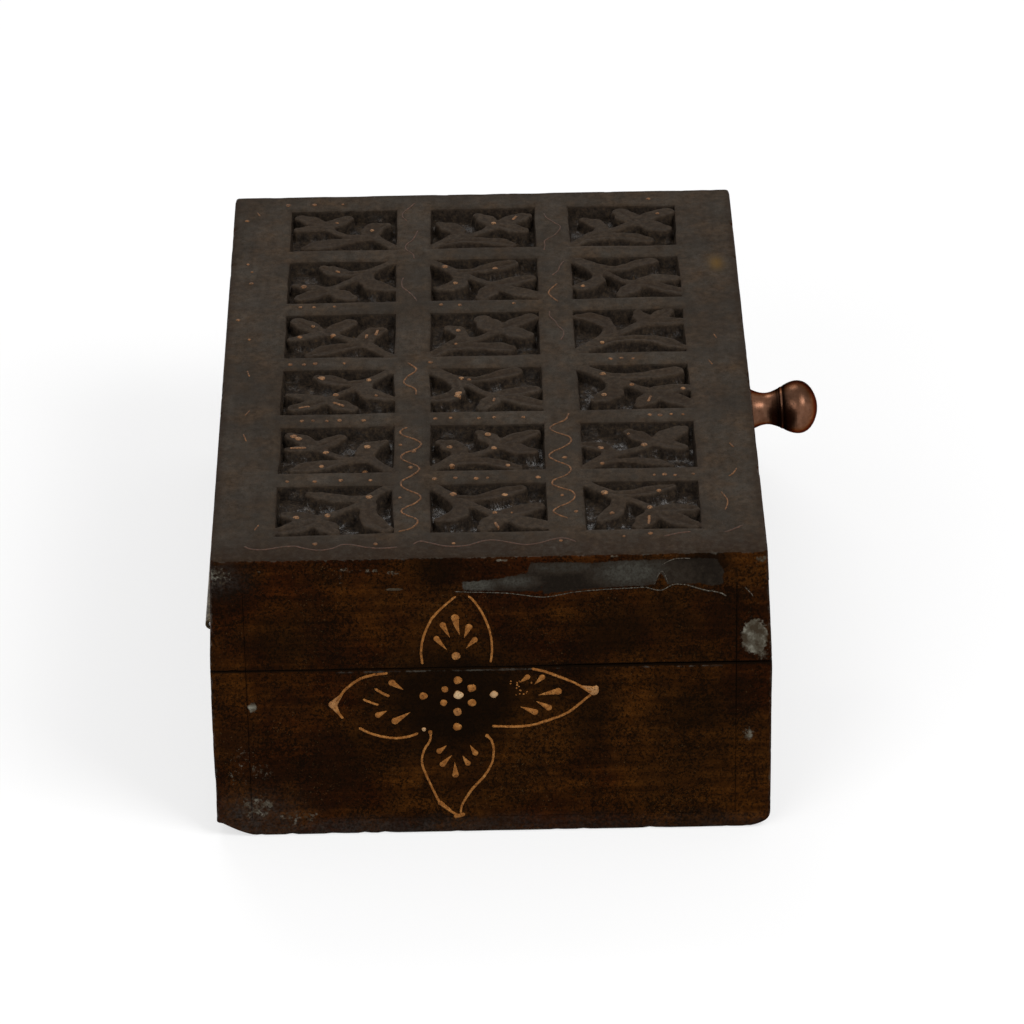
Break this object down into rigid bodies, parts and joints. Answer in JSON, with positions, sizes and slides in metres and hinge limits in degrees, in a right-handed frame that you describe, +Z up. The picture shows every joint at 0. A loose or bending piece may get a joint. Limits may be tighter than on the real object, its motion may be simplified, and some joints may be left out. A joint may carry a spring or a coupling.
{
  "type": "keepsake box",
  "caption": "Rectangular wooden keepsake box with a hinged lid, a carved leaf-panel top, butt hinges and a turned front knob.",
  "frame": {"origin": "centre of the base's underside", "axes": "+X along the length, to the right seen from the front; -Y is the front with the knob; +Y is the back with the hinges; +Z up"},
  "size_m": [0.254, 0.202, 0.103],
  "materials": {
    "lacquered_wood": "very dark brown lacquer over wood, mottled with orange-brown, dull gloss, worn edges",
    "carved_wood": "dusty grey-brown matte finish on the carved top, dark glossy pockets, tan relief paint",
    "hinge_brass": "tarnished yellow brass",
    "hinge_pin_steel": "plain drawn steel wire",
    "screw_brass": "slotted brass screws, tarnished in the slots",
    "nail_steel": "dull steel panel pins",
    "knob_bronze": "turned knob, satin copper-brown bronze patina"
  },
  "bodies": {
    "base": {"base_bottom_board": "lacquered_wood", "base_front_board": "lacquered_wood", "base_back_board": "lacquered_wood", "base_left_end": "lacquered_wood", "base_right_end": "lacquered_wood", "base_corner_nails": "nail_steel", "bottom_board_nails": "nail_steel", "left_hinge_base_leaf": "hinge_brass", "right_hinge_base_leaf": "hinge_brass", "left_hinge_pin": "hinge_pin_steel", "right_hinge_pin": "hinge_pin_steel", "base_hinge_screws": "screw_brass"},
    "lid": {"lid_top_board": "carved_wood", "lid_front_board": "lacquered_wood", "lid_back_board": "lacquered_wood", "lid_left_end": "lacquered_wood", "lid_right_end": "lacquered_wood", "lid_corner_nails": "nail_steel", "left_hinge_lid_leaf": "hinge_brass", "right_hinge_lid_leaf": "hinge_brass", "lid_hinge_screws": "screw_brass", "knob": "knob_bronze", "knob_screw": "screw_brass"}
  },
  "joints": [
    {"name": "lid_hinge", "type": "hinge", "parent": "base", "child": "lid", "pos_m": [0, 0.08935, 0.062], "axis": [-1, 0, 0], "range_deg": [0, 180]}
  ]
}
